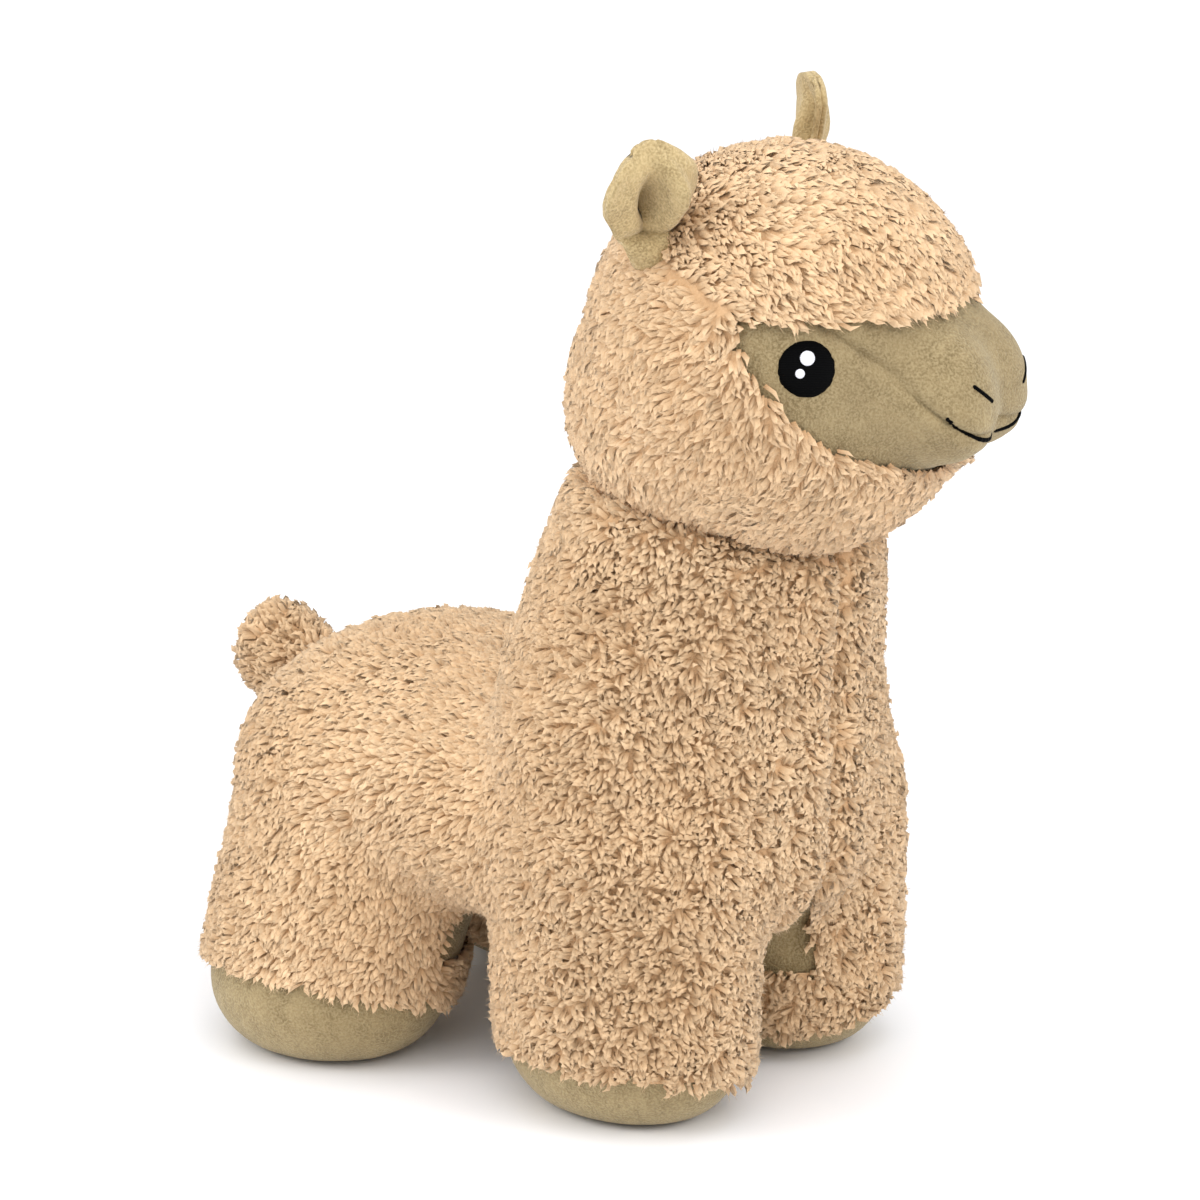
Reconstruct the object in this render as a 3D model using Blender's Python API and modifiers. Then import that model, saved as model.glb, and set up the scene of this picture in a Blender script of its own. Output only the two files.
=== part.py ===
"""Plush alpaca, a stuffed toy that stands on four legs with its head turned a little.

The animal faces -Y, its left side is +X and the floor is z = 0.  The body, the head
and the tail are stuffed forms.  Each has a closed surface, which is where the backing
of its cloth lies.  Seams are cut into that surface, every panel of cloth is grown
outwards from its own faces, and the filling lies just inside.
"""

import math

import bmesh
import bpy
from mathutils import Matrix, Vector
from mathutils.bvhtree import BVHTree

# Cloth and sewing
FLEECE = 0.0050             # curly fleece, backing and pile together
VELOUR = 0.0020             # short pile of the face, ears, belly and soles
GAP = 0.0003                # air between pieces that touch
SEAM = 0.0005               # space between two panels along their seam

# Trunk, over the fleece
TRUNK_HALF_WIDTH = 0.061
CHEST_REACH = 0.095         # chest ahead of the middle of the four feet
CHEST_DEPTH = 0.051         # half length of the chest's bulge
CHEST_HALF_WIDTH = 0.065
SHOULDER_HEIGHT = 0.150
CHEST_BELLY_HEIGHT = 0.045
RUMP_REACH = 0.102          # rump behind the middle of the four feet
RUMP_DEPTH = 0.051
RUMP_HALF_WIDTH = 0.067
BACK_HEIGHT = 0.114
BELLY_HEIGHT = 0.038

# Neck, over the fleece
NECK_HALF_WIDTH = 0.051
NECK_HALF_DEPTH = 0.044
NECK_Y = -0.053
NECK_BASE_HALF_WIDTH = 0.062    # where the neck grows out of the shoulders
NECK_BASE_HALF_DEPTH = 0.049
NECK_BASE_HEIGHT = 0.114

# Legs and feet, over the fleece
FRONT_FOOT_X = 0.035
FRONT_FOOT_Y = -0.0475
FRONT_FOOT_HALF_WIDTH = 0.033
FRONT_FOOT_HALF_LENGTH = 0.041
REAR_FOOT_X = 0.050
REAR_FOOT_Y = 0.049
REAR_FOOT_HALF_WIDTH = 0.037
REAR_FOOT_HALF_LENGTH = 0.041
HIP_PROUD = 0.011           # how far a hip swells out past the trunk
HIP_DROP = 0.020            # how far below the middle of the trunk a hip sits
FOOT_ROUND = 0.024          # height over which a foot rounds in to the floor
FOOT_SQUASH = 0.005         # how far the foot is pressed flat by standing

# Seams of the body
FRONT_ARCH_HALF_WIDTH = 0.017
MIDDLE_ARCH_HALF_WIDTH = 0.056
REAR_ARCH_HALF_WIDTH = 0.022
ARCH_HEIGHT = 0.064
KNEE_HEIGHT = 0.030         # lower edge of the belly gusset on the legs
SOLE_INNER_HEIGHT = 0.004
FRONT_SOLE_HEIGHT = 0.017   # seam of the sole on the outer side of the front foot
REAR_SOLE_HEIGHT = 0.026

# Head, over the fleece
HEAD_X = 0.0
HEAD_Y = -0.075
HEAD_Z = 0.213
HEAD_TURN = math.radians(10)    # turned to its own left
HEAD_LEAN = math.radians(-2.5)  # left ear higher
HEAD_NOD = math.radians(-5)     # nose up
HEAD_RADIUS = 0.057
NAPE_DROP = HEAD_RADIUS * 0.21
NAPE_BACK = HEAD_RADIUS * 0.263
BROW_REACH = HEAD_RADIUS * 0.912
BROW_HEIGHT = HEAD_RADIUS * 0.228
MUZZLE_REACH = HEAD_RADIUS * 1.149
MUZZLE_HALF_WIDTH = 0.0235
MUZZLE_HALF_HEIGHT = 0.0185
MUZZLE_ROUND = 0.0130       # the blunt front rounds off over this length
MUZZLE_DROP = HEAD_RADIUS * 0.175

# Seams of the head, in the head's own frame
FRINGE_HEIGHT = HEAD_RADIUS * 0.342     # at its corners, above the eyes
FRINGE_DIP = 0.15           # slope of its edge, down towards the nose
FRINGE_PROUD = 0.0045       # extra pile of the forelock over its front edge
CROWN_RISE = 0.61           # slope of the seam from the fringe up to the ears
CROWN_CORNER_Y = HEAD_RADIUS * -0.14
FACE_START_Y = HEAD_RADIUS * -0.60
FACE_SPREAD = 0.356
FACE_TILT = 0.535
BRIDGE_SLOPE = 1.15         # of the seam from the fringe down to the mouth
MOUTH_CORNER_Y = MUZZLE_REACH * -0.83
MOUTH_CORNER_Z = -MUZZLE_DROP - 0.0024
MOUTH_CORNER_X = MUZZLE_HALF_WIDTH * 0.957
MOUTH_Z = -MUZZLE_DROP - 0.0103     # under the nose
MOUTH_SMILE = 0.0086        # how far the corners of the mouth rise above that

# Ears, in the head's own frame
EAR_X = HEAD_RADIUS * 0.65
EAR_Y = HEAD_RADIUS * 0.35
EAR_Z = HEAD_RADIUS * 0.622
EAR_LENGTH = 0.0405         # with the root inside the fleece
EAR_ROOT = 0.006
EAR_HALF_WIDTH = 0.0140
EAR_CLOTH = 0.0016
EAR_NECK = 0.20             # shares of the ear's height
EAR_WIDEST = 0.60
EAR_PINCH = 0.42            # width of its root, as a share of its full width
EAR_SPLAY = math.radians(18)
EAR_FACING = math.radians(38)
EAR_CURL_ROOT = math.radians(95)
EAR_CURL_TIP = math.radians(38)

# Tail
TAIL_Z = 0.0865
TAIL_LENGTH = 0.0325
TAIL_HALF_HEIGHT = 0.0155
TAIL_HALF_WIDTH = 0.0105
TAIL_RISE = math.radians(28)

# Embroidery, angles seen from the middle of the head
EYE_RADIUS = 0.0074
EYE_ROUND_ANGLE = math.radians(57.8)
EYE_UP_ANGLE = math.radians(6.7)
THREAD = 0.0009             # thickness of a field of satin stitch
GLINT_RADIUS = 0.0020
SMALL_GLINT_RADIUS = 0.0013
LINE_WIDTH = 0.0013         # of the stitched nostrils and mouth
NOSTRIL_TOP = (MUZZLE_REACH * 0.256, MUZZLE_REACH * -0.95, -MUZZLE_DROP + 0.0056)
NOSTRIL_BEND = (MUZZLE_REACH * 0.214, MUZZLE_REACH * -0.977, -MUZZLE_DROP + 0.0025)
NOSTRIL_FOOT = (MUZZLE_REACH * 0.156, MUZZLE_REACH * -0.994, -MUZZLE_DROP - 0.0005)
LIP_Y = MUZZLE_REACH * -0.916
LIP_DROP = 0.0012           # how far each half of the mouth sags below its middle

# Fineness of the surfaces
BODY_FACES = 1900
HEAD_FACES = 900
TAIL_FACES = 150
GRAIN = 0.0030              # grain at which the swollen forms are blended


def clear_scene():
    for obj in list(bpy.data.objects):
        bpy.data.objects.remove(obj, do_unlink=True)


def finish(name, colour, roughness):
    material = bpy.data.materials.new(name)
    material.use_nodes = True
    shader = material.node_tree.nodes["Principled BSDF"]
    shader.inputs["Base Color"].default_value = (*colour, 1.0)
    shader.inputs["Roughness"].default_value = roughness
    shader.inputs["Metallic"].default_value = 0.0
    material.diffuse_color = (*colour, 1.0)
    return material


def limb(start, end, steps=8):
    """A row of blobs between two stations; a blob is a centre and three radii."""
    row = []
    for i in range(steps + 1):
        share = i / steps
        centre = Vector(start[0]).lerp(Vector(end[0]), share)
        radii = Vector(start[1]).lerp(Vector(end[1]), share)
        row.append((centre, radii))
    return row


def within(radii, cloth):
    """Radii at the backing of a cloth, from the radii over its pile."""
    return tuple(r - cloth - GAP for r in radii)


def blended(blobs, face_count, smoothing, floor=None):
    """One closed triangle surface round all the blobs, pressed flat at the floor."""
    ball = bmesh.new()
    bmesh.ops.create_uvsphere(ball, u_segments=32, v_segments=20, radius=1.0)
    bm = bmesh.new()
    for centre, radii in blobs:
        mesh = bpy.data.meshes.new("blob")
        ball.to_mesh(mesh)
        mesh.transform(Matrix.Translation(centre) @ Matrix.Diagonal((*radii, 1.0)))
        bm.from_mesh(mesh)
        bpy.data.meshes.remove(mesh)
    ball.free()
    mesh = bpy.data.meshes.new("swollen")
    bm.to_mesh(mesh)
    bm.free()
    obj = bpy.data.objects.new("swollen", mesh)
    bpy.context.scene.collection.objects.link(obj)
    remesh = obj.modifiers.new("blend", "REMESH")
    remesh.mode = "VOXEL"
    remesh.voxel_size = GRAIN
    smooth = obj.modifiers.new("smooth", "SMOOTH")
    smooth.factor = 0.5
    smooth.iterations = smoothing
    bpy.context.view_layer.update()
    graph = bpy.context.evaluated_depsgraph_get()
    fine = bpy.data.meshes.new_from_object(obj.evaluated_get(graph))
    if floor is not None:
        for vertex in fine.vertices:
            vertex.co.z = max(vertex.co.z, floor)
    obj.modifiers.clear()
    obj.data = fine
    triangles = sum(len(polygon.vertices) - 2 for polygon in fine.polygons)
    decimate = obj.modifiers.new("coarsen", "DECIMATE")
    decimate.ratio = face_count / triangles
    bpy.context.view_layer.update()
    graph = bpy.context.evaluated_depsgraph_get()
    coarse = bpy.data.meshes.new_from_object(obj.evaluated_get(graph))
    bpy.data.objects.remove(obj)
    surface = bmesh.new()
    surface.from_mesh(coarse)
    bmesh.ops.triangulate(surface, faces=surface.faces)
    for vertex in surface.verts:
        if floor is not None and vertex.co.z < floor + GAP:
            vertex.co.z = floor
    return surface


def on_seam(vertex, seam):
    return [edge for edge in vertex.link_edges if edge[seam] or edge.is_boundary]


def cut_seam(bm, name, field, region=None):
    """Cut the surface where field is zero and tag the faces on its positive side.

    A vertex close to the line slides onto it, so that no slivers are left.
    """
    seam = bm.edges.layers.int.get("seam") or bm.edges.layers.int.new("seam")
    tag = bm.faces.layers.int.new(name)
    value = {vertex: field(vertex.co) for vertex in bm.verts}
    faces = [face for face in bm.faces if region is None or region(face)]
    chosen = set(faces)
    edges = [edge for edge in bm.edges if chosen.intersection(edge.link_faces)]
    slides = {}
    for edge in edges:
        first, second = edge.verts
        if value[first] * value[second] >= 0.0:
            continue
        share = value[first] / (value[first] - value[second])
        place = first.co.lerp(second.co, share)
        for vertex, near in ((first, share), (second, 1.0 - share)):
            sewn = on_seam(vertex, seam)
            free = not sewn or (len(sewn) == 2 and edge in sewn)
            limit = 0.33 if free else 0.20
            if near < limit and near < slides.get(vertex, (1.0, None))[0]:
                slides[vertex] = (near, place if free else vertex.co.copy())
    for vertex, (near, place) in slides.items():
        vertex.co = place
        value[vertex] = 0.0
    for edge in edges:
        first, second = edge.verts
        if value[first] * value[second] >= 0.0:
            continue
        share = value[first] / (value[first] - value[second])
        middle = bmesh.utils.edge_split(edge, first, share)[1]
        value[middle] = 0.0
    for face in faces:
        signs = [value[vertex] for vertex in face.verts]
        if max(signs) <= 0.0 or min(signs) >= 0.0:
            continue
        ends = [vertex for vertex in face.verts if value[vertex] == 0.0]
        bmesh.utils.face_split(face, ends[0], ends[1])
    for face in bm.faces:
        if region is None or region(face):
            total = sum(value[vertex] for vertex in face.verts)
            face[tag] = int((total or field(face.calc_center_median())) > 0.0)
    bmesh.ops.triangulate(bm, faces=[face for face in bm.faces if len(face.verts) > 3])
    for edge in bm.edges:
        if len({face[tag] for face in edge.link_faces}) > 1:
            edge[seam] = 1
    return tag


def halve(bm):
    """Keep the +X half, open along the middle plane."""
    tag = cut_seam(bm, "left", lambda point: point.x)
    right = [face for face in bm.faces if not face[tag]]
    bmesh.ops.delete(bm, geom=right, context="FACES")
    for edge in bm.edges:
        if edge.is_boundary:
            for vertex in edge.verts:
                vertex.co.x = 0.0


def mirrored(bm):
    """Add the -X half again and weld the two along the middle plane."""
    everything = bm.verts[:] + bm.edges[:] + bm.faces[:]
    bmesh.ops.mirror(bm, geom=everything, axis="X", merge_dist=0.00001)
    bmesh.ops.recalc_face_normals(bm, faces=bm.faces)
    bm.normal_update()


def side_of(face):
    return "left" if face.calc_center_median().x > 0.0 else "right"


def offset_solid(points, faces, normals, low, high, shifts):
    """Closed solid over some faces, from low to high above them, as a new bmesh."""
    solid = bmesh.new()
    used = sorted({index for face in faces for index in face})
    inner = {}
    outer = {}
    for index in used:
        base = points[index] + shifts.get(index, Vector())
        inner[index] = solid.verts.new(base + normals[index] * low)
        outer[index] = solid.verts.new(base + normals[index] * high(points[index]))
    directed = {(face[i], face[(i + 1) % 3]) for face in faces for i in range(3)}
    for face in faces:
        solid.faces.new([outer[index] for index in face])
        solid.faces.new([inner[index] for index in reversed(face)])
    for first, second in sorted(directed):
        if (second, first) not in directed:
            solid.faces.new((inner[first], inner[second], outer[second], outer[first]))
    bmesh.ops.triangulate(solid, faces=[face for face in solid.faces if len(face.verts) > 3])
    bmesh.ops.recalc_face_normals(solid, faces=solid.faces)
    return solid


def seam_shifts(points, faces):
    """How far each vertex on a panel's edge steps back from the seam line."""
    directed = {}
    for face in faces:
        for i in range(3):
            directed[(face[i], face[(i + 1) % 3])] = face[(i + 2) % 3]
    steps = {}
    for (first, second), third in sorted(directed.items()):
        if (second, first) in directed:
            continue
        along = (points[second] - points[first]).normalized()
        inwards = points[third] - points[first]
        inwards = (inwards - along * inwards.dot(along)).normalized()
        for index in (first, second):
            steps.setdefault(index, []).append(inwards)
    shifts = {}
    for index, directions in steps.items():
        mean = sum(directions, Vector()) / len(directions)
        spread = max(mean.length, 0.5)
        shifts[index] = mean.normalized() * (SEAM / 2.0 / spread)
    return shifts


class StuffedForm:
    """A closed surface at the backing of the cloth, with named panels of faces.

    What lies on the floor plane has its cloth straight below it, so the soles are flat.
    """

    def __init__(self, bm, panel_of, floor=-math.inf):
        bm.verts.index_update()
        self.points = [vertex.co.copy() for vertex in bm.verts]
        self.normals = [vertex.normal.copy() for vertex in bm.verts]
        for vertex in bm.verts:
            if vertex.co.z <= floor + GAP / 10.0:
                self.normals[vertex.index] = Vector((0.0, 0.0, -1.0))
        self.faces = []
        self.panels = {}
        for face in bm.faces:
            corners = tuple(vertex.index for vertex in face.verts)
            self.faces.append(corners)
            self.panels.setdefault(panel_of(face), []).append(corners)
        bm.free()

    def panel(self, name, thickness):
        """Cloth of one panel; thickness is a number or a function of the place."""
        faces = self.panels[name]
        pile = thickness if callable(thickness) else lambda place: thickness
        shifts = seam_shifts(self.points, faces)
        return offset_solid(self.points, faces, self.normals, GAP,
                            lambda place: GAP + pile(place), shifts)

    def closed(self, offset):
        """The whole closed surface, moved outwards by offset."""
        solid = bmesh.new()
        corners = [solid.verts.new(point + normal * offset)
                   for point, normal in zip(self.points, self.normals)]
        for face in self.faces:
            solid.faces.new([corners[index] for index in face])
        solid.normal_update()
        return solid


def body_surface():
    chest_y = CHEST_DEPTH - CHEST_REACH
    chest_z = (SHOULDER_HEIGHT + CHEST_BELLY_HEIGHT) / 2.0
    chest_half = (SHOULDER_HEIGHT - CHEST_BELLY_HEIGHT) / 2.0
    rump_y = RUMP_REACH - RUMP_DEPTH
    rump_z = (BACK_HEIGHT + BELLY_HEIGHT) / 2.0
    rump_half = (BACK_HEIGHT - BELLY_HEIGHT) / 2.0
    chest = within((CHEST_HALF_WIDTH, CHEST_DEPTH, chest_half), FLEECE)
    rump = within((RUMP_HALF_WIDTH, RUMP_DEPTH, rump_half), FLEECE)
    blobs = [((0.0, chest_y, chest_z), chest)]
    loin_half = (BACK_HEIGHT - BELLY_HEIGHT) / 2.0
    loin = within((TRUNK_HALF_WIDTH, CHEST_DEPTH, loin_half), FLEECE)
    blobs += limb(((0.0, chest_y, rump_z), loin), ((0.0, rump_y, rump_z), rump))
    neck_base = within((NECK_BASE_HALF_WIDTH, NECK_BASE_HALF_DEPTH, NECK_HALF_DEPTH), FLEECE)
    neck_top = within((NECK_HALF_WIDTH, NECK_HALF_DEPTH, NECK_HALF_DEPTH), FLEECE)
    blobs += limb(((0.0, chest_y, NECK_BASE_HEIGHT), neck_base),
                  ((0.0, NECK_Y, HEAD_Z - HEAD_RADIUS), neck_top))
    for side in (-1.0, 1.0):
        for x, y, half_width, half_length, top in (
                (FRONT_FOOT_X, FRONT_FOOT_Y, FRONT_FOOT_HALF_WIDTH,
                 FRONT_FOOT_HALF_LENGTH, chest_z),
                (REAR_FOOT_X, REAR_FOOT_Y, REAR_FOOT_HALF_WIDTH,
                 REAR_FOOT_HALF_LENGTH, rump_z)):
            foot = within((half_width, half_length, FOOT_ROUND + FLEECE), FLEECE)
            low = FOOT_ROUND - FOOT_SQUASH
            hip = within((half_width, half_length, half_width), FLEECE)
            hip_x = min(x, TRUNK_HALF_WIDTH - half_width + HIP_PROUD)
            blobs += limb(((side * x, y, low), foot), ((side * hip_x, y, top - HIP_DROP), hip))
    surface = blended(blobs, BODY_FACES, 20, VELOUR + GAP)
    halve(surface)
    return surface


def arch_half_width(y):
    """Half width of the seam line under the body, from front arch to rear arch."""
    end = FRONT_ARCH_HALF_WIDTH if y < 0.0 else REAR_ARCH_HALF_WIDTH
    reach = CHEST_REACH if y < 0.0 else RUMP_REACH
    swell = math.cos(math.pi / 2.0 * min(abs(y) / reach, 1.0)) ** 2
    return end + (MIDDLE_ARCH_HALF_WIDTH - end) * swell


def arch_field(point):
    """Negative under the belly and on the inner sides of the legs."""
    across = abs(point.x) / arch_half_width(point.y)
    up = max(point.z, 0.0) / ARCH_HEIGHT
    return (math.hypot(across, up) - 1.0) * FRONT_ARCH_HALF_WIDTH


def sole_field(point):
    """Negative on the sole of the nearest foot; the soles tilt outwards."""
    if point.y < 0.0:
        inner = FRONT_FOOT_X - FRONT_FOOT_HALF_WIDTH
        outer = FRONT_FOOT_X + FRONT_FOOT_HALF_WIDTH
        height = FRONT_SOLE_HEIGHT
    else:
        inner = REAR_FOOT_X - REAR_FOOT_HALF_WIDTH
        outer = REAR_FOOT_X + REAR_FOOT_HALF_WIDTH
        height = REAR_SOLE_HEIGHT
    share = (abs(point.x) - inner) / (outer - inner)
    return point.z - (SOLE_INNER_HEIGHT + (height - SOLE_INNER_HEIGHT) * share)


def body_form():
    bm = body_surface()
    sole = cut_seam(bm, "over_sole", sole_field)
    arch = cut_seam(bm, "outside", arch_field, lambda face: face[sole] == 1)
    knee = cut_seam(bm, "over_knee", lambda point: point.z - KNEE_HEIGHT,
                    lambda face: face[sole] == 1 and face[arch] == 0)
    mirrored(bm)

    def panel_of(face):
        end = "front" if face.calc_center_median().y < 0.0 else "rear"
        if not face[sole]:
            return f"sole_{end}_{side_of(face)}"
        if face[arch]:
            return f"body_side_{side_of(face)}"
        if face[knee]:
            return "belly_gusset"
        return f"inner_leg_{end}_{side_of(face)}"

    return StuffedForm(bm, panel_of, VELOUR + GAP)


def crown_field(point):
    """Positive above the fringe and in front of the seam that holds the ears."""
    along = point.y - CROWN_CORNER_Y
    slope = CROWN_RISE if along > 0.0 else FRINGE_DIP
    return point.z - FRINGE_HEIGHT - slope * along


def face_field(point):
    """Positive on the fleece behind the face."""
    return point.y - FACE_START_Y - FACE_TILT * point.z - FACE_SPREAD * abs(point.x)


def bridge_field(point):
    """Positive on the strip from the fringe down over the nose."""
    return point.z - MOUTH_CORNER_Z - BRIDGE_SLOPE * (point.y - MOUTH_CORNER_Y)


def mouth_field(point):
    """Positive above the line of the mouth."""
    return point.z - MOUTH_Z - MOUTH_SMILE * (abs(point.x) / MOUTH_CORNER_X) ** 3


def head_form():
    skull = within((HEAD_RADIUS * 0.97, HEAD_RADIUS * 0.97, HEAD_RADIUS), FLEECE)
    blobs = [((0.0, 0.0, 0.0), skull)]
    nape = within((HEAD_RADIUS * 0.88, HEAD_RADIUS * 0.84, HEAD_RADIUS * 0.78), FLEECE)
    blobs.append(((0.0, NAPE_BACK, -NAPE_DROP), nape))
    brow = within((HEAD_RADIUS * 0.66, BROW_REACH * 0.5, HEAD_RADIUS * 0.38), FLEECE)
    blobs.append(((0.0, -BROW_REACH * 0.5, BROW_HEIGHT), brow))
    nose_y = MUZZLE_ROUND - MUZZLE_REACH
    nose_x = MUZZLE_HALF_WIDTH - MUZZLE_ROUND
    root = within((HEAD_RADIUS * 0.68, HEAD_RADIUS * 0.55, HEAD_RADIUS * 0.50), VELOUR)
    nose = within((MUZZLE_ROUND, MUZZLE_ROUND, MUZZLE_HALF_HEIGHT), VELOUR)
    for side in (-1.0, 1.0):
        blobs += limb(((0.0, -HEAD_RADIUS * 0.36, -MUZZLE_DROP * 0.1), root),
                      ((side * nose_x, nose_y, -MUZZLE_DROP), nose))
    surface = blended(blobs, HEAD_FACES, 6)
    halve(surface)
    crown = cut_seam(surface, "crown", crown_field)
    hood = cut_seam(surface, "hood", face_field, lambda face: face[crown] == 0)
    bridge = cut_seam(surface, "bridge", bridge_field,
                      lambda face: not face[crown] and not face[hood])
    over_mouth = cut_seam(surface, "over_mouth", mouth_field,
                          lambda face: not face[crown] and not face[hood] and face[bridge])
    mirrored(surface)

    def panel_of(face):
        if face[crown]:
            return "crown_forelock"
        if face[hood]:
            return f"hood_{side_of(face)}"
        if face[bridge] and face[over_mouth]:
            return "face_bridge"
        return f"cheek_{side_of(face)}"

    return StuffedForm(surface, panel_of)


def forelock_pile(place):
    """The forelock is thicker towards its front edge, where it hangs over the brow."""
    forward = min(max(-place.y / HEAD_RADIUS, 0.0), 1.0)
    return FLEECE + FRINGE_PROUD * forward ** 2


def tail_form():
    root = within((TAIL_HALF_WIDTH, TAIL_HALF_HEIGHT, TAIL_HALF_HEIGHT), FLEECE * 0.6)
    tip = (root[0], root[1] * 0.8, root[2] * 1.05)
    along = TAIL_LENGTH - TAIL_HALF_HEIGHT
    blobs = limb(((0.0, -TAIL_HALF_HEIGHT, 0.0), root), ((0.0, along, 0.0), tip), 5)
    surface = blended(blobs, TAIL_FACES, 3)
    halve(surface)
    mirrored(surface)
    return StuffedForm(surface, lambda face: f"tail_{side_of(face)}")


def ear_outline(v):
    """Share of the ear's full width at the share v of its height."""
    swell = min(max((v - EAR_NECK) / (EAR_WIDEST - EAR_NECK), 0.0), 1.0)
    swell = EAR_PINCH + (1.0 - EAR_PINCH) * swell * swell * (3.0 - 2.0 * swell)
    over = max(v - EAR_WIDEST, 0.0) / (1.05 - EAR_WIDEST)
    return swell * math.sqrt(1.0 - over * over)


def ear_surface(offset):
    """Open curled leaf of an ear: root at the origin, tip up, hollow facing -Y."""
    bm = bmesh.new()
    bmesh.ops.create_grid(bm, x_segments=8, y_segments=9, size=1.0)
    for vertex in bm.verts:
        u = vertex.co.x
        v = (vertex.co.y + 1.0) / 2.0
        half = EAR_HALF_WIDTH * ear_outline(v)
        curl = EAR_CURL_ROOT + (EAR_CURL_TIP - EAR_CURL_ROOT) * v
        radius = half / curl
        angle = u * curl
        height = EAR_LENGTH * v - EAR_LENGTH * 0.10 * u * u * v * v
        reach = radius + offset
        vertex.co = Vector((reach * math.sin(angle),
                            radius * 1.6 - reach * math.cos(angle), height - EAR_ROOT))
        vertex.co.y = -vertex.co.y
    bmesh.ops.recalc_face_normals(bm, faces=bm.faces)
    return bm


def draped_disc(tree, centre, normal, radius, rings, low, high):
    """Thin closed disc that follows the surface under it."""
    aside = normal.orthogonal().normalized()
    upwards = normal.cross(aside)
    points = [Vector()]
    spokes = 8 + 4 * rings
    for ring in range(1, rings + 1):
        for spoke in range(spokes):
            angle = math.tau * spoke / spokes
            reach = radius * ring / rings
            points.append(aside * reach * math.cos(angle) + upwards * reach * math.sin(angle))
    faces = [(0, 1 + i, 1 + (i + 1) % spokes) for i in range(spokes)]
    for ring in range(rings - 1):
        for i in range(spokes):
            a = 1 + ring * spokes + i
            b = 1 + ring * spokes + (i + 1) % spokes
            faces.append((a, a + spokes, b + spokes))
            faces.append((a, b + spokes, b))
    landed = []
    for point in points:
        start = centre + point + normal * EYE_RADIUS
        landed.append(tree.ray_cast(start, -normal)[0] or centre + point)
    return offset_solid(landed, faces, [normal] * len(landed), low, lambda place: high, {})


def solid_object(name, bm, material, parent, collection, sharp=math.radians(40)):
    mesh = bpy.data.meshes.new(name)
    bm.to_mesh(mesh)
    bm.free()
    mesh.shade_smooth()
    mesh.set_sharp_from_angle(angle=sharp)
    mesh.materials.append(material)
    obj = bpy.data.objects.new(name, mesh)
    obj.parent = parent
    collection.objects.link(obj)
    return obj


def trimmed(obj, cutter):
    """Cut a piece back so that it ends on the cloth it is sewn to."""
    cut = obj.modifiers.new("seat", "BOOLEAN")
    cut.operation = "DIFFERENCE"
    cut.object = cutter


def draped_line(tree, points, low, high):
    """Thin closed strip that follows the surface under a bent line of three points."""
    start, middle, end = points
    count = 12
    path = []
    for i in range(count):
        share = i / (count - 1)
        path.append(start * (1 - share) ** 2 + middle * 2 * share * (1 - share)
                    + end * share ** 2)
    landed = []
    normals = []
    for i, aim in enumerate(path):
        ahead = path[min(i + 1, count - 1)] - path[max(i - 1, 0)]
        outwards = aim.normalized()
        aside = ahead.cross(outwards).normalized() * (LINE_WIDTH / 2.0)
        for edge in (aside, -aside):
            hit, normal = tree.ray_cast(aim + edge + outwards * HEAD_RADIUS, -outwards)[:2]
            landed.append(hit)
            normals.append(normal)
    faces = []
    for a in range(0, 2 * count - 2, 2):
        faces.append((a, a + 1, a + 3))
        faces.append((a, a + 3, a + 2))
        across = (normals[a] + normals[a + 1]).normalized()
        normals[a] = normals[a + 1] = across
    return offset_solid(landed, faces, normals, low, lambda place: high, {})


clear_scene()
toy = bpy.data.collections.new("plush_alpaca")
bpy.context.scene.collection.children.link(toy)
guides = bpy.data.collections.new("sewing_guides")
bpy.context.scene.collection.children.link(guides)

fleece = finish("curly_fleece", (0.72, 0.50, 0.29), 0.95)
velour = finish("olive_velour", (0.50, 0.42, 0.24), 0.85)
filling = finish("polyester_filling", (0.92, 0.92, 0.90), 0.90)
black_thread = finish("black_thread", (0.01, 0.01, 0.015), 0.45)
white_thread = finish("white_thread", (0.85, 0.85, 0.88), 0.45)

stand = bpy.data.objects.new("stand_point", None)
toy.objects.link(stand)
head_turn = bpy.data.objects.new("head_turn", None)
head_turn.parent = stand
head_turn.location = (HEAD_X, HEAD_Y, HEAD_Z)
head_turn.rotation_euler = (HEAD_NOD, HEAD_LEAN, HEAD_TURN)
toy.objects.link(head_turn)
tail_root = bpy.data.objects.new("tail_root", None)
tail_root.parent = stand
tail_root.location = (0.0, RUMP_REACH - FLEECE, TAIL_Z)
tail_root.rotation_euler = (TAIL_RISE, 0.0, 0.0)
toy.objects.link(tail_root)

body = body_form()
head = head_form()
tail = tail_form()

# Guides that trim what is sewn onto the head and onto the body
head_guide = solid_object("head_guide", head.closed(GAP * 2 + FLEECE), fleece, head_turn, guides)
body_guide = solid_object("body_guide", body.closed(GAP * 2 + FLEECE), fleece, stand, guides)
for guide in (head_guide, body_guide):
    guide.hide_render = True
    guide.display_type = "WIRE"

# Body: two sides, the belly gusset, four inner legs, four soles and the filling
for panel in sorted(body.panels):
    cloth, thickness = (velour, VELOUR) if panel[:4] in ("sole", "bell") else (fleece, FLEECE)
    piece = solid_object(panel, body.panel(panel, thickness), cloth, stand, toy)
    if panel.startswith("body_side"):
        trimmed(piece, head_guide)
body_filling = solid_object("body_filling", body.closed(0.0), filling, stand, toy)
trimmed(body_filling, head_guide)

# Head: hood, crown with its forelock, face and filling
for panel in sorted(head.panels):
    if panel == "crown_forelock":
        solid_object(panel, head.panel(panel, forelock_pile), fleece, head_turn, toy)
    elif panel.startswith("hood"):
        solid_object(panel, head.panel(panel, FLEECE), fleece, head_turn, toy)
    else:
        solid_object(panel, head.panel(panel, VELOUR), velour, head_turn, toy)
solid_object("head_filling", head.closed(0.0), filling, head_turn, toy)

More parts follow.
